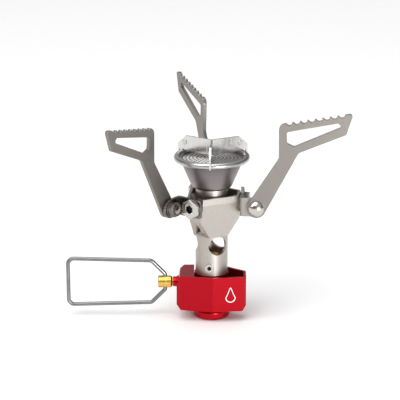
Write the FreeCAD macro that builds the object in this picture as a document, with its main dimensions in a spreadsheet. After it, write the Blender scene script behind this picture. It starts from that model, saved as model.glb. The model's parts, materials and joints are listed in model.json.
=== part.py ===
import FreeCAD, Part
import math
import os
import re
import Sketcher

# Folding canister stove. Millimetres, +Z up, origin at the mouth of the canister thread.
# +X and -X run across the valve block; the wire handle leaves along -X.
# Azimuths are degrees anticlockwise from +X, seen from above.

V = FreeCAD.Vector
doc = FreeCAD.newDocument("canister_stove")
sheet = doc.addObject("Spreadsheet::Sheet", "sizes")

SIZES = [
    ("thread_radius", 5.07, "7/16-28 UNEF canister thread, minor radius"),
    ("thread_depth", 8.0, "threaded wall, from the mouth"),
    ("seal_depth", 1.8, "seal chamber above the thread"),
    ("seal_radius", 4.6, "seal chamber radius"),
    ("collar_radius", 7.5, "round threaded collar"),
    ("collar_height", 4.6, "collar, mouth to block underside"),
    ("block_top", 19.1, "top face of the block"),
    ("pocket_floor", 13.2, "floor of the pocket round the tube seat"),
    ("seat_top", 19.1, "top of the tube seat"),
    ("seat_outer", 6.95, "tube seat, radius"),
    ("block_wall", 1.0, "walls round the pocket"),
    ("block_left", 14.2, "block, axis to left face"),
    ("block_right", 13.9, "block, axis to right face"),
    ("block_nose", 9.4, "block, axis to the front ridge"),
    ("spindle_z", 14.5, "height of the valve spindle"),
    ("bore_radius", 2.05, "spindle thread bore"),
    ("gland_radius", 2.4, "gland thread"),
    ("nose_radius", 2.05, "gland nose outside the block"),
    ("neck_radius", 1.25, "spindle neck"),
    ("running_gap", 0.05, "radial clearance of every turning fit"),
    ("barrel_radius", 2.45, "plain brass barrel"),
    ("barrel_start", 15.9, "axis to the barrel's inner end"),
    ("barrel_end", 21.7, "axis to the barrel's outer end"),
    ("handle_x", 18.9, "axis to the handle's cross-hole"),
    ("wire_radius", 0.8, "handle wire"),
    ("handle_reach", 58.3, "axis to the handle's outer bar"),
    ("tube_radius", 6.5, "burner tube, outside"),
    ("tube_bore", 5.4, "burner tube, inside"),
    ("tube_top", 55.8, "burner tube, upper end"),
    ("air_radius", 3.8, "air inlet holes"),
    ("air_z", 31.5, "height of the air inlets"),
    ("boss_top", 24.5, "spigot inside the tube"),
    ("screw_z", 22.4, "height of the tube's grub screw"),
    ("yoke_bottom", 35.5, "yoke, lower edge"),
    ("yoke_shoulder", 43.0, "yoke, foot of the three wing faces"),
    ("yoke_top", 52.6, "yoke, open upper edge"),
    ("wing_reach", 11.3, "axis to a wing face"),
    ("flat_reach", 9.0, "axis to a flat between wings"),
    ("yoke_foot", 6.8, "every slanted side at the lower edge"),
    ("flat_break", 50.0, "flats lean in below this height"),
    ("yoke_wall", 1.0, "yoke sheet"),
    ("hinge_z", 49.0, "height of the knuckle bolts"),
    ("bolt_radius", 1.5, "knuckle bolt and arm pin shanks"),
    ("plate", 1.3, "knuckle sheet"),
    ("leg_inner", 11.85, "axis to the knuckle's inner face"),
    ("leg_outer", 7.7, "arm-side face of the knuckle, off the radial plane"),
    ("hinge_half", 3.8, "half width of knuckle and arm at the pin"),
    ("pivot_u", 18.5, "axis to the arm pin"),
    ("arm_side", 7.9, "inner face of the arm, off the radial plane"),
    ("arm_plate", 1.4, "arm sheet"),
    ("shelf_u", 27.1, "arm, inner end of the shelf"),
    ("shelf_z", 83.6, "arm, shelf height at its inner end"),
    ("tip_u", 55.9, "arm, tip"),
    ("tip_z", 88.6, "arm, shelf height at the tip"),
    ("tooth_pitch", 2.9, "spacing of the grip teeth"),
    ("tooth_radius", 1.22, "scallop between two teeth"),
    ("first_tooth", 31.05, "axis to the first scallop"),
    ("cup_bottom", 55.0, "burner cup underside"),
    ("cup_wall", 0.8, "burner cup sheet"),
    ("rim_radius", 15.15, "rolled rim, outside"),
    ("rim_bottom", 65.9, "rolled rim, underside"),
    ("rim_top", 68.4, "rolled rim, top"),
    ("seat_radius", 12.6, "cup mouth, outside, inside the rim"),
    ("plate_hole", 0.42, "flame plate holes, radius"),
    ("clip_top", 74.3, "wind clip, top edge"),
    ("clip_sheet", 0.35, "wind clip sheet"),
    ("clip_reach", 16.0, "axis to the wind clip's outer edge"),
]
ALIASES = {alias for alias, value, note in SIZES}
for row, (alias, value, note) in enumerate(SIZES, start=1):
    sheet.set(f"A{row}", note)
    sheet.set(f"B{row}", str(value))
    sheet.setAlias(f"B{row}", alias)
doc.recompute()

# Arms stand at these azimuths, with the tube's air holes midway between them.
ARM_AZIMUTHS = {"right": -6.0, "rear": 114.0, "left": 234.0}
# The rear arm stands a little steeper than the others against its stop.
ARM_LEANS = {"right": 0.0, "rear": 2.8, "left": 0.0}
AIR_AZIMUTHS = (-66.0, 54.0, 174.0)
VANE_AZIMUTHS = (-93.0, 27.0, 147.0)
SCREW_AZIMUTH = -98.0

# Rotations that carry a part's own +Z onto the named direction.
ALONG = {
    "z": FreeCAD.Rotation(),
    "x": FreeCAD.Rotation(V(0, 1, 0), 90),
    "-x": FreeCAD.Rotation(V(0, 1, 0), -90),
    "-y": FreeCAD.Rotation(V(1, 0, 0), 90),
}
# Sketch planes: "xz" has its normal along -Y, "yz" along +X.
PLANES = {
    "xy": FreeCAD.Rotation(),
    "xz": FreeCAD.Rotation(V(1, 0, 0), 90),
    "yz": FreeCAD.Rotation(V(1, 1, 1), 120),
}
nodes = []


def expression(formula):
    """Give every sheet alias in a formula its sheet name."""

    def full_name(word):
        return "sizes." + word.group() if word.group() in ALIASES else word.group()

    return re.sub(r"[a-z][a-z0-9_]*", full_name, str(formula))


def bind(item, prop, formula):
    item.setExpression(prop, expression(formula))


def place(item, spot=(0, 0, 0), turn=None):
    """Turn an item, then bind where its own origin goes."""
    item.Placement = FreeCAD.Placement(V(), turn or FreeCAD.Rotation())
    for letter, formula in zip("xyz", spot):
        bind(item, f"Placement.Base.{letter}", formula)


def radial(azimuth):
    """The rotation that carries +Z onto a level direction."""
    return FreeCAD.Rotation(V(0, 0, 1), azimuth).multiply(ALONG["x"])


def cylinder(name, radius, height, spot=(0, 0, 0), turn=None):
    item = doc.addObject("Part::Cylinder", name)
    bind(item, "Radius", radius)
    bind(item, "Height", height)
    place(item, spot, turn)
    return item


def hexagon(name, flats, height, spot=(0, 0, 0), turn=None):
    """A six-sided prism, given its width across flats."""
    item = doc.addObject("Part::Prism", name)
    item.Polygon = 6
    bind(item, "Circumradius", f"({flats}) / 2 / cos(30 deg)")
    bind(item, "Height", height)
    place(item, spot, turn)
    return item


def ring(name, radius, section, spot=(0, 0, 0), turn=None):
    item = doc.addObject("Part::Torus", name)
    bind(item, "Radius1", radius)
    bind(item, "Radius2", section)
    place(item, spot, turn)
    return item


def outline(sketch, points):
    """Close a polygon whose corners are bound to the sheet."""
    count = len(points)
    values = [[sheet_value(c) for c in point] for point in points]
    corners = [V(x, y, 0) for x, y in values]
    for k in range(count):
        sketch.addGeometry(Part.LineSegment(corners[k], corners[(k + 1) % count]), False)
    for k in range(count):
        sketch.addConstraint(Sketcher.Constraint("Coincident", k, 2, (k + 1) % count, 1))
    for k, point in enumerate(points):
        for kind, value, formula in zip(("DistanceX", "DistanceY"), values[k], point):
            number = sketch.addConstraint(Sketcher.Constraint(kind, -1, 1, k, 1, value))
            if not isinstance(formula, (int, float)):
                bind(sketch, f"Constraints[{number}]", formula)


def sheet_value(formula):
    """Work a formula out from the sheet's present values."""
    if isinstance(formula, (int, float)):
        return float(formula)
    return float(sheet.evalExpression(re.sub(r"sizes\.", "", expression(formula))))


def extrusion(name, plane, points, length, back="0", offset=("0", "0", "0")):
    """Extrude a closed polygon along its plane's normal, and backwards by back."""
    sketch = doc.addObject("Sketcher::SketchObject", name + "_outline")
    outline(sketch, points)
    place(sketch, offset, PLANES[plane])
    item = doc.addObject("Part::Extrusion", name)
    item.Base = sketch
    item.DirMode = "Normal"
    item.Solid = True
    bind(item, "LengthFwd", length)
    bind(item, "LengthRev", back)
    return item


def turned(name, points, about="V_Axis", height="0"):
    """A body of revolution: points are (radius, z), or (x, radius) about the level axis."""
    body = doc.addObject("PartDesign::Body", name)
    sketch = body.newObject("Sketcher::SketchObject", name + "_profile")
    plane = next(f for f in body.Origin.OriginFeatures if f.Role == "XZ_Plane")
    sketch.AttachmentSupport = (plane, [""])
    sketch.MapMode = "FlatFace"
    bind(sketch, "AttachmentOffset.Base.y", height)
    outline(sketch, points)
    revolution = body.newObject("PartDesign::Revolution", name + "_turning")
    revolution.Profile = sketch
    revolution.ReferenceAxis = (sketch, [about])
    revolution.Angle = 360
    body.Tip = revolution
    return body


def fuse(name, parts):
    item = doc.addObject("Part::MultiFuse", name)
    item.Shapes = parts
    item.Refine = True
    return item


def cut(name, base, tools):
    item = doc.addObject("Part::Cut", name)
    item.Base = base
    item.Tool = tools[0] if len(tools) == 1 else fuse(name + "_tools", tools)
    return item


def group(name, parts):
    item = doc.addObject("Part::Compound", name)
    item.Links = parts
    return item


def rounded(name, base, corners):
    """Round the edges nearest to given points; corners are (radius, point)."""
    doc.recompute()
    item = doc.addObject("Part::Fillet", name)
    item.Base = base
    chosen = []
    for radius, spot in corners:
        probe = Part.Vertex(V(*[sheet_value(c) for c in spot]))
        gaps = [edge.distToShape(probe)[0] for edge in base.Shape.Edges]
        chosen.append((gaps.index(min(gaps)) + 1, radius, radius))
    item.Edges = chosen
    return item


def swing(item, azimuth, lean=0):
    """Stand a part built along +X at its own azimuth, leaned in about the arm's pin."""
    around = FreeCAD.Placement(V(), FreeCAD.Rotation(V(0, 0, 1), azimuth))
    pin = V(sheet.get("pivot_u"), 0, sheet.get("hinge_z"))
    inward = FreeCAD.Placement(V(), FreeCAD.Rotation(V(0, -1, 0), lean), pin)
    item.Placement = around.multiply(inward)
    return item


def node(name, item):
    item.Label = name
    nodes.append((name, item))
    return item


# ---- Valve block: anodised aluminium with a front ridge, a pocket round the tube seat, a collar
EAR_EDGE = -7.05
block_plan = [
    (0.5, "-block_nose"),
    ("block_right - 1.1", -7.915),
    ("block_right", -6.6),
    ("block_right", -0.2),
    (5.5, 6.0),
    (EAR_EDGE, 7.6),
    (-11.2, 7.6),
    ("-block_left", -0.5),
    ("-block_left", -5.6),
    (-12.8, -6.9),
]
block_core = extrusion(
    "block_core", "xy", block_plan, "block_top - collar_height", offset=("0", "0", "collar_height")
)
# Sawn corners: a corner's place, and how far its cut runs along X and Z.
SAWN_CORNERS = [
    ("-block_left", "collar_height", 1.75, 2.0),
    ("-block_left", "block_top", 1.4, -4.4),
    ("block_right", "collar_height", -1.5, 2.0),
]
saws = []
for k, (x, z, run, rise) in enumerate(SAWN_CORNERS):
    outside = f"{x} - ({run / 2})"
    saw_plan = [
        (outside, f"{z} + ({rise * 1.5})"),
        (outside, f"{z} - ({rise / 2})"),
        (f"{x} + ({run * 1.5})", f"{z} - ({rise / 2})"),
    ]
    saws.append(extrusion(f"saw_{k}", "xz", saw_plan, "15", "15"))
block_sawn = cut("block_sawn", block_core, saws)
# The pocket is open at the back; the spindle's bore crosses it inside a bridge.
pocket_plan = [
    (EAR_EDGE, "block_wall - 7.98"),
    (0.5, "block_wall - block_nose + 0.02"),
    ("block_right - block_wall", "block_wall - 7.9"),
    ("block_right - block_wall", -0.7),
    (5.0, 5.0),
    (5.0, 9.0),
    (EAR_EDGE, 9.0),
]
pocket = extrusion("pocket", "xy", pocket_plan, 8, offset=("0", "0", "pocket_floor"))
block_hollow = cut("block_hollow", block_sawn, [pocket])
tube_seat_boss = cylinder("tube_seat_boss", "seat_outer", "seat_top - 12", (0, 0, 12))
bridge = doc.addObject("Part::Box", "spindle_bridge")
bind(bridge, "Length", 5)
bind(bridge, "Width", 6.4)
bind(bridge, "Height", 5.2)
place(bridge, (-8.5, -3.2, 12))
COLLAR_NECK = 0.9
collar_stock = turned(
    "collar_stock",
    [
        (0, 0),
        ("collar_radius", 0),
        ("collar_radius", 3.5),
        (f"collar_radius - {COLLAR_NECK}", 4.0),
        (f"collar_radius - {COLLAR_NECK}", "collar_height + 0.5"),
        (0, "collar_height + 0.5"),
    ],
)
collar_edges = [(1.5, ("-collar_radius", 0, 0)), (1.2, ("-collar_radius", 0, 3.5))]
collar = rounded("collar", collar_stock, collar_edges)
spigot = cylinder("spigot", "tube_bore", "boss_top - seat_top + 1", (0, 0, "seat_top - 1"))
block_body = fuse("block_body", [block_hollow, tube_seat_boss, bridge, collar, spigot])
SEAT_X = 4.6
GAS_RADIUS = 0.95
GLAND_DEPTH = 11.0
INLET_START = V(-1.9, 0, 9.5)
INLET_END = V(-5.6, 0, 13.4)
inlet_run = INLET_END.sub(INLET_START)
inlet = doc.addObject("Part::Cylinder", "gas_inlet")
inlet.Radius = 0.6
inlet.Height = inlet_run.Length
inlet.Placement = FreeCAD.Placement(INLET_START, FreeCAD.Rotation(V(0, 0, 1), inlet_run))
# The tube's grub screw enters the spigot level, and stops short of the jet.
SCREW_INNER = 3.2
HEAD_START = 6.1
screw_turn = radial(SCREW_AZIMUTH)
screw_way = screw_turn.multVec(V(0, 0, 1))
shank_spot = (SCREW_INNER * screw_way.x, SCREW_INNER * screw_way.y, "screw_z")
head_spot = (HEAD_START * screw_way.x, HEAD_START * screw_way.y, "screw_z")
block_tools = [
    cylinder("thread_bore", "thread_radius", "thread_depth + 1", (0, 0, -1)),
    cylinder("seal_chamber", "seal_radius", "seal_depth + 0.1", (0, 0, "thread_depth - 0.1")),
    cylinder("pin_seat", 1.0, 2.2, (0, 0, "thread_depth + seal_depth - 0.1")),
    cylinder("spindle_bore", "bore_radius", 20, (-SEAT_X, 0, "spindle_z"), ALONG["-x"]),
    cylinder("gland_bore", "gland_radius", 10, (-GLAND_DEPTH, 0, "spindle_z"), ALONG["-x"]),
    cylinder("valve_seat", GAS_RADIUS, SEAT_X + 0.5, (GAS_RADIUS / 2, 0, "spindle_z"), ALONG["-x"]),
    cylinder("gas_riser", GAS_RADIUS, 12, (0, 0, "spindle_z")),
    cylinder("jet_bore", 2.0, 10, (0, 0, "boss_top - 3.5")),
    cylinder("screw_bore", 1.2, 10, shank_spot, screw_turn),
    inlet,
]
node("valve_block", cut("valve_block", block_body, block_tools))

# ---- Sealing and gas parts inside the block
seal_section = 0.9
canister_seal = ring(
    "canister_o_ring", "seal_radius - 0.9", seal_section, (0, 0, "thread_depth + seal_depth - 0.9")
)
node("canister_o_ring", canister_seal)
node(
    "pin_depressor",
    turned(
        "pin_depressor",
        [
            (0, "thread_depth + 0.3"),
            (0.7, "thread_depth + 0.3"),
            (1.0, "thread_depth + 0.6"),
            (1.0, "thread_depth + seal_depth + 2.1"),
            (0, "thread_depth + seal_depth + 2.1"),
        ],
    ),
)
jet_hex = hexagon("jet_hex", 5.0, 2.0, (0, 0, "boss_top"))
jet_shank = cylinder("jet_shank", 2.0, 3.5, (0, 0, "boss_top - 3.5"))
jet_chamber = cylinder("jet_chamber", 1.1, 4.5, (0, 0, "boss_top - 3.5"))
jet_orifice = cylinder("jet_orifice", 0.2, 9, (0, 0, "boss_top - 3.5"))
node("gas_jet", cut("gas_jet", fuse("jet_body", [jet_hex, jet_shank]), [jet_chamber, jet_orifice]))
node("jet_filter", cylinder("jet_filter", 1.1, 1.4, (0, 0, "boss_top - 3.5")))

# ---- Valve spindle, its seal and gland, along -X
spindle_profile = [
    ("-barrel_end", 0),
    ("-barrel_end", "barrel_radius - 0.2"),
    ("-barrel_end + 0.2", "barrel_radius"),
    ("-barrel_start - 0.7", "barrel_radius"),
    ("-barrel_start", "barrel_radius - 0.6"),
    ("-barrel_start", "neck_radius"),
    (-9.5, "neck_radius"),
    (-9.5, "bore_radius - running_gap"),
    (-5.4, "bore_radius - running_gap"),
    (-5.4, 0.9),
    (-4.4, 0.9),
    (-2.6, 0),
]
spindle_body = turned("spindle_body", spindle_profile, "H_Axis", "spindle_z")
cross_hole = cylinder(
    "cross_hole", "wire_radius + running_gap", 8, ("-handle_x", 0, "spindle_z - 4")
)
node("valve_spindle", cut("valve_spindle", spindle_body, [cross_hole]))
SEAL_X = -10.1
spindle_seal = ring(
    "spindle_o_ring",
    "(bore_radius + neck_radius) / 2",
    "(bore_radius - neck_radius) / 2",
    (SEAL_X, 0, "spindle_z"),
    ALONG["x"],
)
node("spindle_o_ring", spindle_seal)
gland_profile = [
    (-GLAND_DEPTH, "neck_radius + running_gap"),
    (-GLAND_DEPTH, "gland_radius"),
    ("-block_left", "gland_radius"),
    ("-block_left", "nose_radius"),
    ("-block_left - 1.5", "nose_radius"),
    ("-block_left - 1.5", "neck_radius + running_gap"),
]
node("gland_nut", turned("gland_nut", gland_profile, "H_Axis", "spindle_z"))

# ---- Wire handle: one bent wire, so its centre line is a wire with round corners
handle_x = sheet.get("handle_x")
handle_reach = sheet.get("handle_reach")
spindle_z = sheet.get("spindle_z")
SHOULDER_X = 24.4
HANDLE_CORNERS = [
    (handle_x, 0.9, 0),
    (handle_x, 3.3, 0.9),
    (SHOULDER_X, 9.0, 2.2),
    (handle_reach, 9.9, 2.4),
]
upper = [(V(-x, 0, spindle_z + rise), bend) for x, rise, bend in HANDLE_CORNERS]
lower = [(V(-x, 0, spindle_z - rise), bend) for x, rise, bend in reversed(HANDLE_CORNERS)]
path = upper + lower
edges = []
last = path[0][0]
for (before, _), (corner, bend), (after, _) in zip(path, path[1:], path[2:]):
    back = before.sub(corner).normalize()
    ahead = after.sub(corner).normalize()
    half = back.getAngle(ahead) / 2
    bisector = back.add(ahead).normalize()
    start = corner.add(V(back).multiply(bend / math.tan(half)))
    end = corner.add(V(ahead).multiply(bend / math.tan(half)))
    middle = corner.add(V(bisector).multiply(bend / math.sin(half) - bend))
    edges.append(Part.LineSegment(last, start).toShape())
    edges.append(Part.Arc(start, middle, end).toShape())
    last = end
edges.append(Part.LineSegment(last, path[-1][0]).toShape())
centre_line = Part.Wire(edges)
section = Part.Wire(Part.makeCircle(sheet.get("wire_radius"), path[0][0], V(0, 0, 1)))
handle = doc.addObject("Part::Feature", "wire_handle")
handle.Shape = centre_line.makePipeShell([section], True, False)
node("wire_handle", handle)

# ---- Burner tube with three air inlets and its grub screw
tube_profile = [
    ("tube_bore", "seat_top"),
    ("tube_radius", "seat_top"),
    ("tube_radius", "tube_top"),
    ("tube_bore", "tube_top"),
]
air_holes = [
    cylinder(f"air_hole_{k}", "air_radius", 10, (0, 0, "air_z"), radial(azimuth))
    for k, azimuth in enumerate(AIR_AZIMUTHS)
]
tube_tools = air_holes + [
    cylinder("screw_clearance", 1.2, 10, shank_spot, screw_turn),
    cylinder("screw_spotface", 1.8, 4, head_spot, screw_turn),
]
node("burner_tube", cut("burner_tube", turned("tube_stock", tube_profile), tube_tools))
SOCKET_START = 6.5
socket_spot = (SOCKET_START * screw_way.x, SOCKET_START * screw_way.y, "screw_z")
screw_metal = fuse(
    "screw_metal",
    [
        cylinder("screw_head", 1.8, 1.0, head_spot, screw_turn),
        cylinder("screw_shank", 1.2, HEAD_START - SCREW_INNER + 0.2, shank_spot, screw_turn),
    ],
)
screw_socket = hexagon("screw_socket", 1.5, 2.0, socket_spot, screw_turn)
node("tube_screw", cut("tube_screw", screw_metal, [screw_socket]))


# ---- Yoke: a three-winged shell, open at the top, with slanted undersides
def winged(name, inset, bottom):
    """The yoke's outside, or its hollow when inset by the wall."""
    wing = f"(wing_reach - {inset})"
    flat = f"(flat_reach - {inset})"
    half = f"(({flat} - {wing} / 2) / cos(30 deg))"
    corners = []
    for k in range(3):
        for side in (-1, 1):
            x = f"{wing} * cos({120 * k} deg) - {side} * {half} * sin({120 * k} deg)"
            y = f"{wing} * sin({120 * k} deg) + {side} * {half} * cos({120 * k} deg)"
            corners.append((x, y))
    prism = extrusion(
        name + "_prism", "xy", corners, f"yoke_top - ({bottom}) + {inset}", offset=("0", "0", bottom)
    )
    # Each side leans in to the foot: wings below their shoulder, flats below their break.
    wedges = []
    sides = [(120 * k, "wing_reach", "yoke_shoulder") for k in range(3)]
    sides += [(120 * k + 60, "flat_reach", "flat_break") for k in range(3)]
    for azimuth, reach, corner in sides:
        lean = f"({reach} - yoke_foot) / ({corner} - yoke_bottom)"
        foot = f"yoke_foot - {inset} * sqrt(1 + ({lean}) * ({lean}))"
        wedge_plan = [
            (f"{foot} - {lean}", "yoke_bottom - 1"),
            (f"{foot} + {lean} * ({corner} - yoke_bottom + 6)", f"{corner} + 6"),
            ("wing_reach + 8", f"{corner} + 6"),
            ("wing_reach + 8", "yoke_bottom - 1"),
        ]
        wedge = extrusion(f"{name}_wedge_{azimuth}", "xz", wedge_plan, "15", "15")
        wedges.append(swing(group(f"{name}_turned_wedge_{azimuth}", [wedge]), azimuth))
    return cut(name, prism, wedges)


shell = winged("yoke_shell", "0", "yoke_bottom")
hollow = winged("yoke_hollow", "yoke_wall", "yoke_bottom + 1")
tube_seat = cylinder("tube_seat", "tube_radius", 30, (0, 0, 30))
yoke_tools = [hollow, tube_seat]
for k in range(3):
    bolt_hole = cylinder(f"wing_hole_{k}", "bolt_radius", 20, (0, 0, "hinge_z"), radial(120 * k))
    yoke_tools.append(bolt_hole)
    window = extrusion(
        f"window_{k}",
        "yz",
        [(-2.3, "yoke_bottom + 1.0"), (2.3, "yoke_bottom + 1.0"), (0, "yoke_shoulder - 1.6")],
        "10",
        offset=("6.6", "0", "0"),
    )
    yoke_tools.append(swing(group(f"turned_window_{k}", [window]), 120 * k))
yoke = cut("yoke", shell, yoke_tools)
node("yoke", swing(yoke, ARM_AZIMUTHS["right"]))

# ---- Three pot supports: bolt, washers and nut on the yoke; knuckle, pin and nut; arm
bolts, washers, wing_nuts = [], [], []
HEAD_INNER = "leg_inner + plate + 0.6"
WASHER_RADIUS = 3.9
SLOPE = "(tip_z - shelf_z) / (tip_u - shelf_u)"
for side, azimuth in ARM_AZIMUTHS.items():
    # Hexagon-head socket bolt along the radial direction, screwed into the yoke's wing.
    bolt_shank = cylinder(
        f"bolt_shank_{side}", "bolt_radius", f"{HEAD_INNER} - 8", (8, 0, "hinge_z"), ALONG["x"]
    )
    bolt_head = hexagon(f"bolt_head_{side}", 7.2, 1.6, (HEAD_INNER, 0, "hinge_z"), ALONG["x"])
    bolt_stock = fuse(f"bolt_stock_{side}", [bolt_shank, bolt_head])
    socket_spot = (f"{HEAD_INNER} + 0.4", 0, "hinge_z")
    socket = hexagon(f"bolt_socket_{side}", 3.0, 2, socket_spot, ALONG["x"])
    bolts.append(swing(cut(f"bolt_{side}", bolt_stock, [socket]), azimuth))
    for place_name, start, thick in (
        ("inner", "wing_reach", "leg_inner - wing_reach"),
        ("outer", "leg_inner + plate", "0.6"),
    ):
        disc_profile = [
            (start, "bolt_radius"),
            (start, WASHER_RADIUS),
            (f"{start} + {thick}", WASHER_RADIUS),
            (f"{start} + {thick}", "bolt_radius"),
        ]
        disc = turned(f"washer_{place_name}_{side}", disc_profile, "H_Axis", "hinge_z")
        washers.append(swing(disc, azimuth))
    wing_spot = ("wing_reach - yoke_wall - 1.6", 0, "hinge_z")
    wing_hex = hexagon(f"wing_hex_{side}", 5.0, 1.6, wing_spot, ALONG["x"])
    wing_bore = cylinder(f"wing_bore_{side}", "bolt_radius", 8, (6, 0, "hinge_z"), ALONG["x"])
    wing_nuts.append(swing(cut(f"wing_nut_{side}", wing_hex, [wing_bore]), azimuth))

    # Knuckle: one leg across the bolt, one leg along the arm, and a pointed stop tab.
    across = extrusion(
        f"across_{side}",
        "yz",
        [
            ("-leg_outer", "hinge_z - hinge_half"),
            (3.9, "hinge_z - hinge_half"),
            (3.9, "hinge_z + hinge_half"),
            (1.4, "hinge_z + hinge_half"),
            (0.4, "hinge_z + hinge_half + 2.3"),
            (-0.4, "hinge_z + hinge_half + 2.3"),
            (-1.4, "hinge_z + hinge_half"),
            ("-leg_outer", "hinge_z + hinge_half"),
        ],
        "plate",
        offset=("leg_inner", "0", "0"),
    )
    along = extrusion(
        f"along_{side}",
        "xz",
        [
            ("leg_inner", "hinge_z - hinge_half"),
            ("pivot_u", "hinge_z - hinge_half"),
            ("pivot_u", "hinge_z + hinge_half"),
            ("leg_inner", "hinge_z + hinge_half"),
        ],
        "plate",
        offset=("0", "plate - leg_outer", "0"),
    )
    eye_spot = ("pivot_u", "plate - leg_outer", "hinge_z")
    eye = cylinder(f"knuckle_eye_{side}", "hinge_half", "plate", eye_spot, ALONG["-y"])
    angle = fuse(f"angle_{side}", [across, along, eye])
    bends = [
        (1.1, ("leg_inner", "-leg_outer", "hinge_z")),
        (0.8, ("leg_inner + 0.6", 3.9, "hinge_z + hinge_half")),
        (0.8, ("leg_inner + 0.6", 3.9, "hinge_z - hinge_half")),
    ]
    bent = rounded(f"bent_{side}", angle, bends)
    knuckle_tools = [
        cylinder(f"bolt_way_{side}", "bolt_radius + running_gap", 6, (10, 0, "hinge_z"), ALONG["x"]),
        cylinder(f"pin_way_{side}", "bolt_radius", 12, ("pivot_u", 0, "hinge_z"), ALONG["-y"]),
    ]
    node(f"knuckle_{side}", swing(cut(f"knuckle_{side}", bent, knuckle_tools), azimuth))

    # Arm pin: domed head outside the arm, with a washer and nut on the inner side.
    pin_head = cylinder(
        f"pin_head_{side}",
        3.3,
        2.3,
        ("pivot_u", "-arm_side - arm_plate - running_gap", "hinge_z"),
        ALONG["-y"],
    )
    dome = rounded(
        f"pin_dome_{side}",
        pin_head,
        [(2.0, ("pivot_u - 3.3", "-arm_side - arm_plate - running_gap - 2.3", "hinge_z"))],
    )
    pin_shank = cylinder(
        f"pin_shank_{side}",
        "bolt_radius",
        "arm_side + arm_plate + running_gap - 3.2",
        ("pivot_u", -3.2, "hinge_z"),
        ALONG["-y"],
    )
    node(f"arm_pin_{side}", swing(fuse(f"arm_pin_{side}", [dome, pin_shank]), azimuth))
    washer_spot = ("pivot_u", "plate - leg_outer + 0.6", "hinge_z")
    nut_spot = ("pivot_u", "plate - leg_outer + 2.8", "hinge_z")
    washer = cylinder(f"washer_stock_{side}", 3.1, 0.6, washer_spot, ALONG["-y"])
    nut = hexagon(f"nut_stock_{side}", 5.4, 2.2, nut_spot, ALONG["-y"])
    for kind, stock in (("arm_washer", washer), ("arm_nut", nut)):
        bore_spot = ("pivot_u", -2, "hinge_z")
        bore = cylinder(f"{kind}_bore_{side}", "bolt_radius", 8, bore_spot, ALONG["-y"])
        node(f"{kind}_{side}", swing(cut(f"{kind}_{side}", stock, [bore]), azimuth))

    # Arm: tapering link up to a toothed shelf with a long window.
    arm_plan = [
        (15.0, "hinge_z + 1.5"),
        ("shelf_u + 0.1", 69.8),
        ("shelf_u", "shelf_z"),
        ("tip_u", "tip_z"),
        (53.2, 80.1),
        (34.9, 72.3),
        (22.0, "hinge_z - 1.5"),
    ]
    arm_sheet = extrusion(
        f"arm_sheet_{side}", "xz", arm_plan, "arm_plate", offset=("0", "-arm_side", "0")
    )
    arm_spot = ("pivot_u", "-arm_side", "hinge_z")
    arm_eye = cylinder(f"arm_eye_{side}", "hinge_half", "arm_plate", arm_spot, ALONG["-y"])
    arm_window = extrusion(
        f"arm_window_{side}",
        "xz",
        [(30.1, 80.6), (50.2, 84.7), (51.4, 83.1), (33.1, 74.8), (30.3, 76.0)],
        "arm_plate + 2",
        offset=("0", "1 - arm_side", "0"),
    )
    face = "-arm_side - arm_plate / 2"
    window_corners = [
        (0.8, (50.2, face, 84.7)),
        (0.7, (51.4, face, 83.1)),
        (1.0, (33.1, face, 74.8)),
        (1.0, (30.3, face, 76.0)),
        (1.0, (30.1, face, 80.6)),
    ]
    soft_window = rounded(f"soft_window_{side}", arm_window, window_corners)
    arm_stock = fuse(f"arm_stock_{side}", [arm_sheet, arm_eye])
    arm_corners = [
        (2.7, ("shelf_u", face, "shelf_z")),
        (1.0, ("tip_u", face, "tip_z")),
        (1.2, (53.2, face, 80.1)),
        (2.5, (34.9, face, 72.3)),
        (3.0, ("shelf_u + 0.1", face, 69.8)),
    ]
    arm_soft = rounded(f"arm_soft_{side}", arm_stock, arm_corners)
    arm_tools = [
        soft_window,
        cylinder(
            f"arm_hole_{side}", "bolt_radius + running_gap", 12, ("pivot_u", -4, "hinge_z"), ALONG["-y"]
        ),
    ]
    for tooth in range(8):
        across_u = f"(first_tooth + {tooth} * tooth_pitch)"
        rise = f"shelf_z + ({across_u} - shelf_u) * {SLOPE} + 0.22"
        arm_tools.append(
            cylinder(f"scallop_{side}_{tooth}", "tooth_radius", 6, (across_u, -5, rise), ALONG["-y"])
        )
    node(f"arm_{side}", swing(cut(f"arm_{side}", arm_soft, arm_tools), azimuth, ARM_LEANS[side]))
node("knuckle_bolts", group("knuckle_bolts", bolts))
node("knuckle_washers", group("knuckle_washers", washers))
node("wing_nuts", group("wing_nuts", wing_nuts))

# ---- Burner head: spun cup, rolled rim, perforated flame plate
CUP_FOOT = 7.2
cup_profile = [
    ("tube_radius", "cup_bottom"),
    (CUP_FOOT, "cup_bottom"),
    (7.8, "cup_bottom + 0.3"),
    (8.2, "cup_bottom + 0.8"),
    (8.5, "cup_bottom + 1.5"),
    (12.15, "rim_bottom - 0.8"),
    ("seat_radius", "rim_bottom"),
    ("seat_radius", "rim_bottom + 1.5"),
    ("seat_radius - cup_wall", "rim_bottom + 1.5"),
    ("seat_radius - cup_wall", "rim_bottom + 0.1"),
    ("12.15 - cup_wall", "rim_bottom - 0.7"),
    ("8.5 - cup_wall", "cup_bottom + 1.8"),
    (CUP_FOOT, "cup_bottom + cup_wall"),
    ("tube_radius", "cup_bottom + cup_wall"),
]
node("burner_cup", turned("burner_cup", cup_profile))
rim_profile = [
    ("seat_radius", "rim_bottom"),
    ("rim_radius - 0.9", "rim_bottom"),
    ("rim_radius - 0.3", "rim_bottom + 0.35"),
    ("rim_radius", "rim_bottom + 1.0"),
    ("rim_radius", "rim_top - 1.0"),
    ("rim_radius - 0.3", "rim_top - 0.35"),
    ("rim_radius - 0.9", "rim_top"),
    ("seat_radius + 0.9", "rim_top"),
    ("seat_radius + 0.3", "rim_top - 0.35"),
    ("seat_radius", "rim_top - 1.0"),
]
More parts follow.
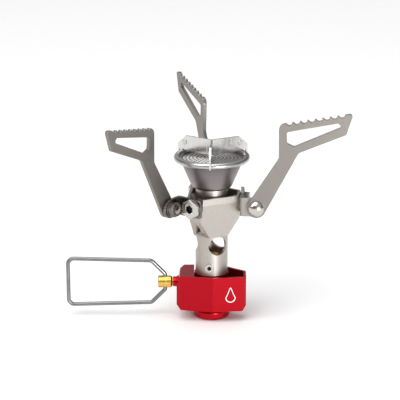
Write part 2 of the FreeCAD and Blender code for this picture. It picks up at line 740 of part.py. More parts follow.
node("burner_rim", turned("burner_rim", rim_profile))
PLATE_EDGE = "seat_radius - cup_wall"
plate_profile = [
    (0, "rim_bottom + 0.6"),
    (PLATE_EDGE, "rim_bottom + 0.3"),
    (PLATE_EDGE, "rim_bottom + 0.8"),
    (0, "rim_bottom + 1.1"),
]
flame_plate = turned("flame_plate", plate_profile)
# Rings of burner holes, each one drilled hole and its polar pattern.
HOLE_RINGS = [(1.5, 6), (3.0, 12), (4.5, 18), (6.0, 24), (7.5, 30), (9.0, 36), (10.4, 42)]
xy_plane = next(f for f in flame_plate.Origin.OriginFeatures if f.Role == "XY_Plane")
z_axis = next(f for f in flame_plate.Origin.OriginFeatures if f.Role == "Z_Axis")
for count, (ring_radius, holes) in enumerate(HOLE_RINGS):
    drill = flame_plate.newObject("Sketcher::SketchObject", f"drill_{count}")
    drill.AttachmentSupport = (xy_plane, [""])
    drill.MapMode = "FlatFace"
    bind(drill, "AttachmentOffset.Base.z", "rim_top + 1")
    drill.addGeometry(Part.Circle(V(ring_radius, 0, 0), V(0, 0, 1), 0.5), False)
    size = drill.addConstraint(Sketcher.Constraint("Radius", 0, 0.5))
    bind(drill, f"Constraints[{size}]", "plate_hole")
    drill.addConstraint(Sketcher.Constraint("DistanceX", -1, 1, 0, 3, ring_radius))
    drill.addConstraint(Sketcher.Constraint("PointOnObject", 0, 3, -1))
    pocket = flame_plate.newObject("PartDesign::Pocket", f"hole_{count}")
    pocket.Profile = drill
    pocket.Length = 8
    pattern = flame_plate.newObject("PartDesign::PolarPattern", f"hole_ring_{count}")
    pattern.Originals = [pocket]
    pattern.Axis = (z_axis, [""])
    pattern.Angle = 360
    pattern.Occurrences = holes
    flame_plate.Tip = pattern
node("flame_plate", flame_plate)

# ---- Wind clip: three V-folded leaves, riveted back to back into three vanes
vane_plan = [
    (0, "rim_bottom + 2.0"),
    ("seat_radius - 0.6", "rim_bottom + 2.0"),
    ("seat_radius - 0.2", "rim_top + 0.1"),
    ("rim_radius + 0.1", "rim_top + 0.1"),
    ("rim_radius + 0.1", "rim_bottom + 0.3"),
    ("clip_reach", "rim_bottom + 0.3"),
    ("clip_reach", "clip_top - 3.5"),
    ("clip_reach - 3.9", "clip_top"),
    (0, "clip_top"),
]
RIVET_U = 12.7
RIVET_DROP = 2.8
leaves = []
for k, azimuth in enumerate(VANE_AZIMUTHS):
    first = extrusion(f"vane_first_{k}", "xz", vane_plan, "0", "clip_sheet")
    second = extrusion(f"vane_second_{k}", "xz", vane_plan, "clip_sheet", "0")
    folded = fuse(f"leaf_stock_{k}", [first, swing(group(f"turned_vane_{k}", [second]), 120)])
    rivet_ways = [
        cylinder(f"rivet_way_{k}_{way}", 0.6, 4, (0, 2, 0), ALONG["-y"]) for way in range(2)
    ]
    place(rivet_ways[0], (RIVET_U, 2, f"clip_top - {RIVET_DROP}"), ALONG["-y"])
    place(rivet_ways[1], (RIVET_U, 2, f"clip_top - {RIVET_DROP}"), ALONG["-y"])
    turned_way = swing(group(f"turned_way_{k}", [rivet_ways[1]]), 120)
    leaf = cut(f"clip_leaf_{k}", folded, [rivet_ways[0], turned_way])
    node(f"clip_leaf_{k + 1}", swing(leaf, azimuth))
rivets = []
# Each rivet's cylinders along -Y: name, radius, length, start.
RIVET_STEPS = [
    ("shank", 0.6, "2 * clip_sheet + 0.6", "clip_sheet + 0.3"),
    ("near", 1.0, 0.4, "-clip_sheet"),
    ("far", 1.0, 0.4, "clip_sheet + 0.4"),
]
for k, azimuth in enumerate(VANE_AZIMUTHS):
    spot_z = f"clip_top - {RIVET_DROP}"
    pieces = [
        cylinder(f"rivet_{part}_{k}", radius, length, (RIVET_U, outer, spot_z), ALONG["-y"])
        for part, radius, length, outer in RIVET_STEPS
    ]
    rivets.append(swing(fuse(f"rivet_{k}", pieces), azimuth))
node("clip_rivets", group("clip_rivets", rivets))

# ---- Check every object, then write one file per node
doc.recompute()
for item in doc.Objects:
    if "Invalid" in item.State or "Error" in item.State:
        raise RuntimeError(f"{item.Name}: {item.State}")
os.makedirs("parts", exist_ok=True)
for name, item in nodes:
    shape = item.Shape
    if shape.isNull() or not shape.isValid() or not shape.Solids:
        raise RuntimeError(f"{name} has no valid solid")
    shape.exportStep(f"parts/{name}.step")
    box = shape.BoundBox
    print(
        f"{name}: solids {len(shape.Solids)} volume {shape.Volume:.1f} "
        f"x {box.XMin:.1f}..{box.XMax:.1f} y {box.YMin:.1f}..{box.YMax:.1f} z {box.ZMin:.1f}..{box.ZMax:.1f}"
    )
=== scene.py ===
import json
import math

import bpy
from mathutils import Matrix, Vector


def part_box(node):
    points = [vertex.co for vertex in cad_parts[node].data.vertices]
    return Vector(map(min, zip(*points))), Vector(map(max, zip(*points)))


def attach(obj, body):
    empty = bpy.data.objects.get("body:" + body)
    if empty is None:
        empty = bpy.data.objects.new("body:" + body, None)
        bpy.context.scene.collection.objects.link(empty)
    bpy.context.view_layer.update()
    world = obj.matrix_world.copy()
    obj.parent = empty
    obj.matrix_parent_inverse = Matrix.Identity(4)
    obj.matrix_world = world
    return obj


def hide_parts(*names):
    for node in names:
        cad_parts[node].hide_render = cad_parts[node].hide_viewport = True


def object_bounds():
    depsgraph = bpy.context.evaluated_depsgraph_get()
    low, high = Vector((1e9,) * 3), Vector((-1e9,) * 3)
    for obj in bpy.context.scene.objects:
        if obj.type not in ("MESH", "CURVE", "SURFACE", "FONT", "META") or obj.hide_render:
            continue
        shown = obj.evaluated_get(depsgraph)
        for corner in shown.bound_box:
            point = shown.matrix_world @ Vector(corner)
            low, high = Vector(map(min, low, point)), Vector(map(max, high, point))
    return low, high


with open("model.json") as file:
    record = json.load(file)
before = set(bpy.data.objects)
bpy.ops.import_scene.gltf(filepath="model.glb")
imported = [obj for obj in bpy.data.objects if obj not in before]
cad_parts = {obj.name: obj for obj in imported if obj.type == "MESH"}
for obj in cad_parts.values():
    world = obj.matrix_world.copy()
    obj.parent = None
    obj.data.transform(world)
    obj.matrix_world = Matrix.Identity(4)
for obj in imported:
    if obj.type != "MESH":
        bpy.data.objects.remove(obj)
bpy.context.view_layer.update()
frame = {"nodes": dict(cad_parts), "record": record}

# Folding canister stove, in metres: +Z up the burner tube, -X along the wire handle.
MM = 0.001
ARM_AZIMUTHS = {"right": -6.0, "rear": 114.0, "left": 234.0}
WELD = 0.002 * MM
SMOOTH_ANGLE = 35
BEVEL_ANGLE = 28
FLAT_ANGLE = 0.5


# ---------------------------------------------------------------- materials
# The part of the noise's range that the colours and the roughness run across.
GRAIN_LOW, GRAIN_HIGH = 0.3, 0.7


def srgb(code):
    """An sRGB hex colour as linear red, green, blue and alpha."""
    parts = [int(code[k : k + 2], 16) / 255 for k in (1, 3, 5)]
    linear = [c / 12.92 if c <= 0.04045 else ((c + 0.055) / 1.055) ** 2.4 for c in parts]
    return (*linear, 1.0)


def add(tree, kind, sockets=None, **settings):
    """Add one shader node: settings are properties, sockets are values or links."""
    made = tree.nodes.new(kind)
    for key, value in settings.items():
        setattr(made, key, value)
    for name, value in (sockets or {}).items():
        if isinstance(value, bpy.types.NodeSocket):
            tree.links.new(value, made.inputs[name])
        else:
            made.inputs[name].default_value = value
    return made


def surface(name, **sockets):
    """A material with one Principled shader; returns the material, tree and shader."""
    made = bpy.data.materials.new(name)
    made.use_nodes = True
    tree = made.node_tree
    shader = next(n for n in tree.nodes if n.type == "BSDF_PRINCIPLED")
    for key, value in sockets.items():
        shader.inputs[key.replace("_", " ")].default_value = value
    return made, tree, shader


def grain(made, tree, shader, size, depth, rough, stretch=(1, 1, 1), dark=None, light=None):
    """Surface grain: size in mm between bumps, depth in mm, stretched along each axis.

    rough is the lowest and highest roughness. dark and light are the two colours it runs between.
    """
    place = add(tree, "ShaderNodeTexCoord").outputs["Object"]
    scaled = add(
        tree,
        "ShaderNodeMapping",
        {"Vector": place, "Scale": tuple(1 / (size * MM * s) for s in stretch)},
    )
    cells = add(
        tree,
        "ShaderNodeTexNoise",
        {"Vector": scaled.outputs["Vector"], "Scale": 1.0, "Detail": 3.0, "Roughness": 0.6},
    )
    bump = add(
        tree,
        "ShaderNodeBump",
        {"Height": cells.outputs["Fac"], "Distance": depth * MM, "Strength": 1.0},
    )
    tree.links.new(bump.outputs["Normal"], shader.inputs["Normal"])
    spread = add(
        tree,
        "ShaderNodeMapRange",
        {
            "Value": cells.outputs["Fac"],
            "From Min": GRAIN_LOW,
            "From Max": GRAIN_HIGH,
            "To Min": rough[0],
            "To Max": rough[1],
        },
    )
    tree.links.new(spread.outputs["Result"], shader.inputs["Roughness"])
    if dark:
        ramp = add(tree, "ShaderNodeValToRGB", {"Fac": cells.outputs["Fac"]})
        ramp.color_ramp.elements[0].position = GRAIN_LOW
        ramp.color_ramp.elements[0].color = srgb(dark)
        ramp.color_ramp.elements[1].position = GRAIN_HIGH
        ramp.color_ramp.elements[1].color = srgb(light)
        tree.links.new(ramp.outputs["Color"], shader.inputs["Base Color"])
    return made


# Dyed anodising over bead-blasted aluminium: an even, saturated red with a metallic satin sheen.
anodised = grain(
    *surface("Anodised aluminium, bead blasted, dyed red", Metallic=0.88),
    size=0.12, depth=0.002, rough=(0.24, 0.3), dark="#A90E1C", light="#B71223",
)
# Free-machining brass off the lathe: yellow, with fine rings round the spindle's axis.
brass = grain(
    *surface("Brass, turned", Metallic=1.0),
    size=0.25, depth=0.005, rough=(0.2, 0.3), stretch=(1, 40, 40), dark="#DDB050", light="#EBC56B",
)
# Nickel-plated tube: warm white, satin, with faint lengthwise draw lines.
nickel = grain(
    *surface("Brass tube, satin nickel plated", Metallic=1.0),
    size=0.16, depth=0.0012, rough=(0.36, 0.46), stretch=(1, 1, 24), dark="#B0AAA4", light="#BEB8B1",
)
# Stainless sheet, blanked and vibratory tumbled: warm grey, matt, with a fine random grain.
tumbled = grain(
    *surface("Stainless steel sheet, blanked and tumbled", Metallic=1.0),
    size=0.18, depth=0.0025, rough=(0.34, 0.44), dark="#9D9892", light="#ACA7A1",
)
# The same sheet on the supports, which stand in the flame's heat: a shade darker and greyer.
dulled = grain(
    *surface("Stainless steel sheet, tumbled and heat dulled", Metallic=1.0),
    size=0.18, depth=0.0025, rough=(0.36, 0.46), dark="#86817C", light="#96918B",
)
# Cold-headed stainless fasteners: brighter than the sheet, smooth.
fastener = grain(
    *surface("Stainless steel, cold headed", Metallic=1.0),
    size=0.2, depth=0.0015, rough=(0.14, 0.24), dark="#BFBAB4", light="#CFCAC5",
)
# Dark steel for the nuts, washers and wing nuts, with bright glints on their edges; on the arm nuts,
# their washers and the left knuckle its darkness is painted shade and dark reflections.
dark_steel_and_shade = grain(
    *surface("Steel, dark, with painted shade", Metallic=1.0),
    size=0.2, depth=0.002, rough=(0.2, 0.34), dark="#6B6662", light="#88827C",
)
# Hard-drawn spring wire: neutral grey with lines along the wire.
wire = grain(
    *surface("Stainless spring wire, drawn", Metallic=1.0),
    size=0.15, depth=0.002, rough=(0.28, 0.38), stretch=(20, 1, 20), dark="#7C7C7E", light="#8F8F91",
)
# Bright-rolled thin strip: mirror-like with a slight haze.
bright = grain(
    *surface("Stainless steel strip, bright rolled", Metallic=1.0),
    size=0.8, depth=0.0006, rough=(0.2, 0.28), stretch=(1, 1, 6), dark="#C9C8C7", light="#D9D8D7",
)
# The rolled rim: spun and polished by hand, so its glints are broad.
polished = grain(
    *surface("Stainless steel, spun and polished", Metallic=1.0),
    size=0.4, depth=0.0008, rough=(0.24, 0.32), stretch=(20, 20, 1), dark="#AFADAC", light="#BEBCBB",
)
# Perforated disc: punched and deburred, a smooth satin between crisp holes.
punched = grain(
    *surface("Stainless steel sheet, punched", Metallic=1.0),
    size=0.5, depth=0.0006, rough=(0.26, 0.34), dark="#D6D4D2", light="#E2E0DE",
)
# Spun stainless cup: lathe rings round the axis under a grey and purplish brown heat tint.
spun = grain(
    *surface("Stainless steel, spun and heat tinted", Metallic=1.0),
    size=0.35, depth=0.0012, rough=(0.34, 0.44), stretch=(40, 40, 1), dark="#6E686A", light="#7E787A",
)
# Black oxide on spring steel: near black with a dull oily gloss. The same black lines the hexagon
# sockets and fills the disc under the flame plate as painted shade.
black = grain(
    *surface("Spring steel, black oxide, and painted shade", Metallic=0.9),
    size=0.15, depth=0.002, rough=(0.34, 0.46), dark="#242120", light="#33302E",
)
# Moulded nitrile rubber: black and soft-looking.
rubber = grain(
    *surface("Nitrile rubber, moulded", Metallic=0.0, IOR=1.52),
    size=0.1, depth=0.004, rough=(0.55, 0.7), dark="#151515", light="#1F1F1F",
)
# Sintered bronze: coarse grains fused together, brown and matt.
sintered = grain(
    *surface("Bronze, sintered", Metallic=1.0),
    size=0.2, depth=0.05, rough=(0.5, 0.7), dark="#7A5531", light="#9A7248",
)
# Laser marking on the anodising: the dye is burnt out, which leaves matt silver-white lines.
marking = grain(
    *surface("Anodised aluminium, laser marked", Metallic=0.2),
    size=0.06, depth=0.002, rough=(0.5, 0.65), dark="#E8DEDD", light="#F7F2F1",
)

# The tint runs up the cup: brown at the foot, purple-grey in the middle, darker towards the rim.
cup_low, cup_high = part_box("burner_cup")
tree = spun.node_tree
height = add(
    tree,
    "ShaderNodeSeparateXYZ",
    {"Vector": add(tree, "ShaderNodeTexCoord").outputs["Object"]},
).outputs["Z"]
climb = add(
    tree,
    "ShaderNodeMapRange",
    {"Value": height, "From Min": cup_low[2], "From Max": cup_high[2]},
)
tint = add(tree, "ShaderNodeValToRGB", {"Fac": climb.outputs["Result"]})
TINTS = [(0.0, "#A39A97"), (0.2, "#9A8F90"), (0.55, "#8C8486"), (0.8, "#787476"), (1.0, "#625F61")]
tint.color_ramp.elements[0].color = srgb(TINTS[0][1])
tint.color_ramp.elements[1].color = srgb(TINTS[-1][1])
for spot, colour in TINTS[1:-1]:
    tint.color_ramp.elements.new(spot).color = srgb(colour)
shader = next(n for n in tree.nodes if n.type == "BSDF_PRINCIPLED")
rings = shader.inputs["Base Color"].links[0].from_socket
blend = add(
    tree, "ShaderNodeMixRGB", {"Fac": 0.75, "Color1": rings, "Color2": tint.outputs["Color"]}
)
tree.links.new(blend.outputs["Color"], shader.inputs["Base Color"])

FINISHES = {
    "red_anodised": anodised,
    "brass": brass,
    "tube_nickel": nickel,
    "stainless_sheet": tumbled,
    "stainless_wire": wire,
    "bright_steel": bright,
    "dark_steel": spun,
    "black_steel": black,
    "seal_rubber": rubber,
    "sintered_bronze": sintered,
}
SLOTS = {part["node"]: part["material_slot"] for part in frame["record"]["subparts"]}


def paint(item, finish):
    item.data.materials.clear()
    item.data.materials.append(finish)


for name, item in frame["nodes"].items():
    paint(item, FINISHES[SLOTS[name]])


# ---------------------------------------------------------------- pieces
def pick(item):
    """Make one object the only selected and the active one."""
    bpy.ops.object.select_all(action="DESELECT")
    item.select_set(True)
    bpy.context.view_layer.objects.active = item


def modify(item, kind, **settings):
    """Add a modifier and apply it."""
    pick(item)
    made = item.modifiers.new(kind.title(), kind)
    for key, value in settings.items():
        setattr(made, key, value)
    bpy.ops.object.modifier_apply(modifier=made.name)


def choose(item, wanted):
    """Enter edit mode, in face mode, with only the wanted faces selected."""
    pick(item)
    bpy.ops.object.mode_set(mode="EDIT")
    bpy.ops.mesh.select_mode(type="FACE")
    bpy.ops.mesh.select_all(action="DESELECT")
    bpy.ops.object.mode_set(mode="OBJECT")
    for face in item.data.polygons:
        face.select = wanted(face)
    bpy.ops.object.mode_set(mode="EDIT")


def body_of(node):
    return next(b for b, members in frame["record"]["behaviour"]["bodies"].items() if node in members)


def softened(node, width, finish=None, crisp=SMOOTH_ANGLE):
    """A copy of a CAD node with its sharp edges broken, standing for that node.

    width is the edge break in mm, or 0 for none. Edges turning more than crisp degrees stay crisp.
    """
    source = frame["nodes"][node]
    item = bpy.data.objects.new(node + "_finished", source.data.copy())
    bpy.context.collection.objects.link(item)
    pick(item)
    bpy.ops.object.mode_set(mode="EDIT")
    bpy.ops.mesh.select_all(action="SELECT")
    bpy.ops.mesh.remove_doubles(threshold=WELD)
    bpy.ops.mesh.dissolve_limited(angle_limit=math.radians(FLAT_ANGLE))
    bpy.ops.object.mode_set(mode="OBJECT")
    if width:
        modify(
            item, "BEVEL", width=width * MM, segments=3, limit_method="ANGLE",
            angle_limit=math.radians(BEVEL_ANGLE), use_clamp_overlap=True,
        )
    pick(item)
    bpy.ops.object.shade_smooth_by_angle(angle=math.radians(crisp))
    modify(item, "WEIGHTED_NORMAL", mode="FACE_AREA", weight=50, keep_sharp=True)
    paint(item, finish or FINISHES[SLOTS[node]])
    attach(item, body_of(node))
    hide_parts(node)
    return item


# Edge breaks in mm, and the finish where it isn't the slot's own.
EDGES = {
    "valve_block": (0.22, None),
    "canister_o_ring": (0, None),
    "pin_depressor": (0.1, None),
    "gas_jet": (0.15, None),
    "jet_filter": (0.1, None),
    "valve_spindle": (0.12, None),
    "spindle_o_ring": (0, None),
    "gland_nut": (0.15, None),
    "wire_handle": (0, None),
    "burner_tube": (0.12, None),
    "tube_screw": (0.12, fastener),
    "yoke": (0.2, None),
    "knuckle_bolts": (0.4, fastener),
    "knuckle_washers": (0.12, dark_steel_and_shade),
    "wing_nuts": (0.2, dark_steel_and_shade),
    "burner_cup": (0.1, None),
    # The plate's body, hole walls included, takes the dark steel as painted shade in the holes.
    "flame_plate": (0, dark_steel_and_shade),
    "clip_leaf_1": (0.06, None),
    "clip_leaf_2": (0.06, None),
    "clip_leaf_3": (0.06, None),
    "clip_rivets": (0.15, fastener),
}
for side in ARM_AZIMUTHS:
    EDGES[f"arm_{side}"] = (0.12, dulled)
    # The left knuckle alone takes the dark steel, as painted shade on that side.
    EDGES[f"knuckle_{side}"] = (0.15, dark_steel_and_shade if side == "left" else None)
    # The arm nuts and their washers take the dark steel: painted shade and dark reflections.
    EDGES[f"arm_nut_{side}"] = (0.18, dark_steel_and_shade)
    EDGES[f"arm_washer_{side}"] = (0.1, dark_steel_and_shade)
# Shallow folds that have to show: the block's front ridge and the yoke's creases.
CRISP = {"valve_block": 16, "yoke": 7}
for node, (width, finish) in EDGES.items():
    softened(node, width, finish, CRISP.get(node, SMOOTH_ANGLE))


def settle(item, name, finish, body):
    """Put a new piece's place into its mesh, smooth it, name it and let it ride."""
    pick(item)
    bpy.ops.object.transform_apply(location=True, rotation=True, scale=True)
    bpy.ops.object.shade_smooth_by_angle(angle=math.radians(SMOOTH_ANGLE))
    item.name = name
    paint(item, finish)
    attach(item, body)
    return item


# Rolled rim: the cup's edge curled outwards, tucked in underneath where the curl closes.
rim_low, rim_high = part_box("burner_rim")
bead = (rim_high[2] - rim_low[2]) / 2
bpy.ops.object.select_all(action="DESELECT")
bpy.ops.mesh.primitive_circle_add(
    vertices=20,
    radius=bead,
    location=(rim_high[0] - bead, 0, rim_low[2] + bead),
    rotation=(math.radians(90), 0, 0),
)
rim = bpy.context.active_object
bpy.ops.object.transform_apply(location=True, rotation=True, scale=True)
bpy.ops.object.mode_set(mode="EDIT")
bpy.ops.mesh.select_all(action="DESELECT")
bpy.ops.object.mode_set(mode="OBJECT")
for vertex in rim.data.vertices:
    inward = rim_high[0] - bead - vertex.co.x
    vertex.select = inward > 0.5 * bead and vertex.co.z < rim_low[2] + 0.7 * bead
bpy.ops.object.mode_set(mode="EDIT")
bpy.ops.transform.translate(value=(0.25 * bead, 0, 0.15 * bead))
bpy.ops.mesh.select_all(action="SELECT")
bpy.ops.mesh.spin(steps=120, angle=math.tau, center=(0, 0, 0), axis=(0, 0, 1))
bpy.ops.mesh.select_all(action="SELECT")
bpy.ops.mesh.remove_doubles(threshold=WELD)
bpy.ops.mesh.normals_make_consistent(inside=False)
bpy.ops.object.mode_set(mode="OBJECT")
settle(rim, "rim_rolled", polished, body_of("burner_rim"))
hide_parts("burner_rim")

# Arm pins: a round dome turned on a shank, made once and copied to the three arms.
HEAD_RADIUS = 3.3 * MM
HEAD_HEIGHT = 2.3 * MM
SHANK_RADIUS = 1.5 * MM
SHANK_LENGTH = 6.15 * MM
HEAD_BASE = Vector((18.5, -9.35, 49.0)) * MM
bpy.ops.object.select_all(action="DESELECT")
bpy.ops.mesh.primitive_uv_sphere_add(segments=40, ring_count=20, radius=HEAD_RADIUS)
pin = bpy.context.active_object
bpy.ops.object.mode_set(mode="EDIT")
bpy.ops.mesh.select_all(action="SELECT")
bpy.ops.mesh.bisect(plane_co=(0, 0, 0), plane_no=(0, 0, 1), use_fill=True, clear_inner=True)
bpy.ops.object.mode_set(mode="OBJECT")
choose(pin, lambda face: face.normal.z < -0.9)
bpy.ops.mesh.inset(thickness=HEAD_RADIUS - SHANK_RADIUS)
bpy.ops.mesh.extrude_region_move(TRANSFORM_OT_translate={"value": (0, 0, -SHANK_LENGTH)})
bpy.ops.mesh.select_mode(type="VERT")
bpy.ops.object.mode_set(mode="OBJECT")
for vertex in pin.data.vertices:
    if vertex.co.z > 0:
        vertex.co.z *= HEAD_HEIGHT / HEAD_RADIUS
for side, azimuth in ARM_AZIMUTHS.items():
    copy = bpy.data.objects.new("pin_copy", pin.data.copy())
    bpy.context.collection.objects.link(copy)
    turn = Matrix.Rotation(math.radians(azimuth), 4, "Z")
    copy.matrix_world = turn @ Matrix.Translation(HEAD_BASE) @ Matrix.Rotation(math.radians(90), 4, "X")
    settle(copy, f"arm_pin_{side}_domed", fastener, body_of(f"arm_pin_{side}"))
    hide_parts(f"arm_pin_{side}")
bpy.data.objects.remove(pin)

# The flame plate's top takes the punched sheet's colour; its hole walls keep the dark steel, painted
# shade in the holes.
SKIN_THICKNESS = 0.05 * MM
skin = bpy.data.objects.new("plate_skin", frame["nodes"]["flame_plate"].data.copy())
bpy.context.collection.objects.link(skin)
choose(skin, lambda face: face.normal.z < 0.9)
bpy.ops.mesh.delete(type="FACE")
bpy.ops.mesh.select_mode(type="VERT")
bpy.ops.mesh.select_all(action="SELECT")
bpy.ops.mesh.remove_doubles(threshold=WELD)
bpy.ops.object.mode_set(mode="OBJECT")
modify(skin, "SOLIDIFY", thickness=SKIN_THICKNESS, offset=1.0)
settle(skin, "flame_plate_face", punched, body_of("flame_plate"))


# Black liners in the hexagon sockets: painted shade in the recesses.
SOCKET_RIM = 0.08 * MM
SOCKET_FLOOR = 0.15
SOCKET_GAP = 0.01


def painted_shade_socket(name, flats, depth, azimuth, spot, body):
    """A black liner, painted shade in a hexagon socket that opens outwards along its azimuth."""
    bpy.ops.object.select_all(action="DESELECT")
    bpy.ops.mesh.primitive_cylinder_add(
        vertices=6, radius=(flats / 2 / math.cos(math.radians(30)) - SOCKET_GAP) * MM, depth=depth * MM
    )
    cup = bpy.context.active_object
    choose(cup, lambda face: face.normal.z > 0.9)
    bpy.ops.mesh.inset(thickness=SOCKET_RIM)
    bpy.ops.mesh.extrude_region_move(
        TRANSFORM_OT_translate={"value": (0, 0, (SOCKET_FLOOR - depth) * MM)}
    )
    bpy.ops.mesh.select_mode(type="VERT")
    bpy.ops.object.mode_set(mode="OBJECT")
    cup.matrix_world = (
        Matrix.Rotation(math.radians(azimuth), 4, "Z")
        @ Matrix.Translation(Vector(spot) * MM)
        @ Matrix.Rotation(math.radians(90), 4, "Y")
        @ Matrix.Rotation(math.radians(30), 4, "Z")
    )
    settle(cup, name, black, body)


# Each socket's width across flats, depth, and middle before it is turned to its azimuth, in mm.
BOLT_SOCKET = (3.0, 1.15)
BOLT_SPOT = (14.75, 0, 49.0)
SCREW_SOCKET = (1.5, 0.55)
SCREW_SPOT = (6.8, 0, 22.4)
SCREW_AZIMUTH = -98.0
for side, azimuth in ARM_AZIMUTHS.items():
    painted_shade_socket(
        f"bolt_socket_{side}", *BOLT_SOCKET, azimuth, BOLT_SPOT, body_of("knuckle_bolts")
    )
painted_shade_socket("screw_socket", *SCREW_SOCKET, SCREW_AZIMUTH, SCREW_SPOT, body_of("tube_screw"))

# A black disc under the drilled plate, painted shade for the cup's dark inside, which makes each hole
# read dark.
SHADE_DISC_GAP = 0.15 * MM
SHADE_DISC_DROP = 0.35 * MM
SHADE_DISC_EDGE = 1.2 * MM
SHADE_DISC_RISE = 0.3 * MM
SHADE_DISC_THICKNESS = 0.12 * MM
plate_low, plate_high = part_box("flame_plate")
bpy.ops.object.select_all(action="DESELECT")
bpy.ops.mesh.primitive_circle_add(
    vertices=64,
    radius=plate_high[0] - SHADE_DISC_GAP,
    fill_type="NGON",
    location=(0, 0, plate_low[2] - SHADE_DISC_DROP),
)
shade_disc = bpy.context.active_object
bpy.ops.object.mode_set(mode="EDIT")
bpy.ops.mesh.inset(thickness=SHADE_DISC_EDGE)
bpy.ops.transform.translate(value=(0, 0, SHADE_DISC_RISE))
bpy.ops.mesh.select_all(action="SELECT")
bpy.ops.mesh.extrude_region_move(TRANSFORM_OT_translate={"value": (0, 0, -SHADE_DISC_THICKNESS)})
bpy.ops.mesh.select_all(action="SELECT")
bpy.ops.mesh.normals_make_consistent(inside=False)
bpy.ops.object.mode_set(mode="OBJECT")
settle(shade_disc, "plate_shade_disc", black, body_of("flame_plate"))

# Canister thread: one ridge wound up the collar's bore, 28 turns to the inch.
PITCH = 0.907 * MM
BORE = 5.07 * MM
RIDGE = 0.42 * MM
FIRST_TURN = 0.9 * MM
TURNS = 7
bpy.ops.object.select_all(action="DESELECT")
bpy.ops.mesh.primitive_circle_add(
    vertices=3,
    radius=RIDGE,
    location=(BORE + 0.05 * MM, 0, FIRST_TURN),
    rotation=(math.radians(90), math.radians(-90), 0),
)
thread = bpy.context.active_object
bpy.ops.object.transform_apply(location=True, rotation=True, scale=True)
modify(
    thread, "SCREW", axis="Z", angle=math.tau, screw_offset=PITCH, iterations=TURNS,
    steps=40, render_steps=40, use_merge_vertices=False,
)
bpy.ops.object.mode_set(mode="EDIT")
bpy.ops.mesh.select_all(action="SELECT")
bpy.ops.mesh.remove_doubles(threshold=0.001 * MM)
bpy.ops.mesh.select_all(action="DESELECT")
bpy.ops.mesh.select_non_manifold()
bpy.ops.mesh.edge_face_add()
bpy.ops.mesh.select_all(action="SELECT")
bpy.ops.mesh.normals_make_consistent(inside=False)
bpy.ops.object.mode_set(mode="OBJECT")
settle(thread, "canister_thread", anodised, body_of("valve_block"))

# Gas mark: a plain drop outline, laser marked on the right front face.
MARK_SPOT = Vector((7.6, -8.55, 10.6)) * MM
MARK_TURN = math.radians(6.9)
MARK_RADIUS = 2.1 * MM
MARK_POINT = 2.3 * MM
bpy.ops.object.select_all(action="DESELECT")
bpy.ops.mesh.primitive_circle_add(vertices=28, radius=MARK_RADIUS, fill_type="NOTHING")
mark = bpy.context.active_object
for vertex in mark.data.vertices:
    lift = max(0.0, vertex.co.y / MARK_RADIUS)
    vertex.co.y += MARK_POINT * lift**3
    vertex.co.x *= 1 - 0.45 * lift
bpy.ops.object.mode_set(mode="EDIT")
bpy.ops.mesh.select_all(action="SELECT")
bpy.ops.mesh.extrude_edges_move()
bpy.ops.transform.resize(value=(0.82, 0.84, 1), center_override=(0, 0.2 * MM, 0))
bpy.ops.mesh.select_all(action="SELECT")
bpy.ops.mesh.extrude_region_move(TRANSFORM_OT_translate={"value": (0, 0, 0.05 * MM)})
bpy.ops.mesh.select_all(action="SELECT")
bpy.ops.mesh.normals_make_consistent(inside=False)
bpy.ops.object.mode_set(mode="OBJECT")
mark.rotation_euler = (math.radians(90), 0, MARK_TURN)
mark.location = MARK_SPOT
settle(mark, "gas_mark", marking, body_of("valve_block"))

# ---------------------------------------------------------------- floor, light and camera
low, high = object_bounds()
bpy.ops.mesh.primitive_plane_add(size=12, location=(0, 0, low.z))
floor = bpy.context.active_object
floor.name = "Studio floor"
pale, _, _ = surface(
    "Paper, matt white", Base_Color=srgb("#FDFDFD"), Roughness=0.9, Specular_IOR_Level=0.1
)
paint(floor, pale)

# The studio: white to the eye, but metal mirrors lit panels with darker gaps between them.
world = bpy.data.worlds.new("Studio")
bpy.context.scene.world = world
world.use_nodes = True
tree = world.node_tree
sky = next(n for n in tree.nodes if n.type == "BACKGROUND")
way = add(
    tree, "ShaderNodeSeparateXYZ", {"Vector": add(tree, "ShaderNodeTexCoord").outputs["Generated"]}
).outputs
front = add(tree, "ShaderNodeMath", {0: way["Y"], 1: -1.0}, operation="MULTIPLY")
around = add(tree, "ShaderNodeMath", {0: way["X"], 1: front.outputs[0]}, operation="ARCTAN2")
share = add(
    tree,
    "ShaderNodeMapRange",
    {"Value": around.outputs[0], "From Min": -math.pi, "From Max": math.pi},
)
panels = add(tree, "ShaderNodeValToRGB", {"Fac": share.outputs["Result"]})
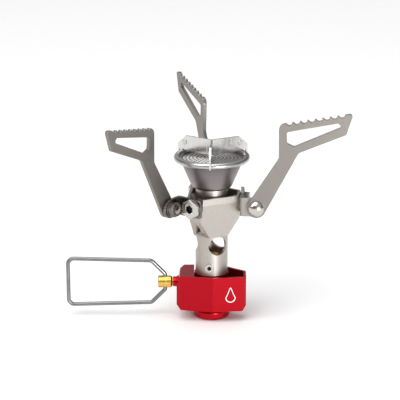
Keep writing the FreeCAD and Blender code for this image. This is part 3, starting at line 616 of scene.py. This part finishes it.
# Degrees round from the front, right positive, and the grey of the wall there.
PANELS = [
    (-180, "#FFFFFF"),
    (-150, "#F8F8F8"),
    (-108, "#868686"),
    (-62, "#CCCCCC"),
    (-32, "#808080"),
    (-10, "#8C8C8C"),
    (10, "#FFFFFF"),
    (45, "#FFFFFF"),
    (75, "#9C9C9C"),
    (125, "#848484"),
    (180, "#B4B4B4"),
]
panels.color_ramp.elements[0].color = srgb(PANELS[0][1])
panels.color_ramp.elements[1].color = srgb(PANELS[-1][1])
for degrees, grey in PANELS[1:-1]:
    panels.color_ramp.elements.new((degrees + 180) / 360).color = srgb(grey)
overhead = add(
    tree, "ShaderNodeMapRange", {"Value": way["Z"], "From Min": 0.35, "From Max": 0.75}
)
ceiling = add(
    tree,
    "ShaderNodeMixRGB",
    {"Fac": overhead.outputs["Result"], "Color1": panels.outputs["Color"], "Color2": (1, 1, 1, 1)},
)
seen = add(tree, "ShaderNodeLightPath").outputs["Is Camera Ray"]
backdrop = add(
    tree,
    "ShaderNodeMixRGB",
    {"Fac": seen, "Color1": ceiling.outputs["Color"], "Color2": (1.9, 1.9, 1.9, 1)},
)
tree.links.new(backdrop.outputs["Color"], sky.inputs["Color"])
sky.inputs["Strength"].default_value = 0.55

# Name, place in metres, size in metres and power in watts.
LAMPS = [
    ("Low key softbox", (0.28, -0.63, 0.05), 0.14, 3.3),
    ("Fill softbox", (-0.6, -0.35, 0.45), 0.35, 0.9),
    ("Top softbox", (0.0, 0.05, 0.8), 0.5, 1.3),
]
middle = Vector((0, 0, 45 * MM))
for name, spot, size, power in LAMPS:
    lamp = bpy.data.lights.new(name, "AREA")
    lamp.shape = "SQUARE"
    lamp.size = size
    lamp.energy = power
    holder = bpy.data.objects.new(name, lamp)
    bpy.context.collection.objects.link(holder)
    holder.location = spot
    holder.rotation_mode = "QUATERNION"
    holder.rotation_quaternion = (middle - Vector(spot)).to_track_quat("-Z", "Y")
    holder.visible_camera = False

sun = bpy.data.lights.new("Overhead diffuser", "SUN")
sun.energy = 1.5
sun.angle = math.radians(50)
holder = bpy.data.objects.new("Overhead diffuser", sun)
bpy.context.collection.objects.link(holder)
holder.rotation_euler = (math.radians(25), math.radians(-20), 0)

CAMERA_RISE = math.radians(17.3)
CAMERA_DISTANCE = 682 * MM
target = Vector((-4.7 * MM, 0, 49.2 * MM))
back = Vector((0, -math.cos(CAMERA_RISE), math.sin(CAMERA_RISE)))
lens = bpy.data.cameras.new("Camera")
lens.lens = 153
lens.sensor_width = 36
lens.clip_start = 0.01
camera = bpy.data.objects.new("Camera", lens)
bpy.context.collection.objects.link(camera)
camera.location = target + back * CAMERA_DISTANCE
camera.rotation_mode = "QUATERNION"
camera.rotation_quaternion = (-back).to_track_quat("-Z", "Y")
bpy.context.scene.camera = camera
bpy.context.scene.view_settings.view_transform = "Standard"
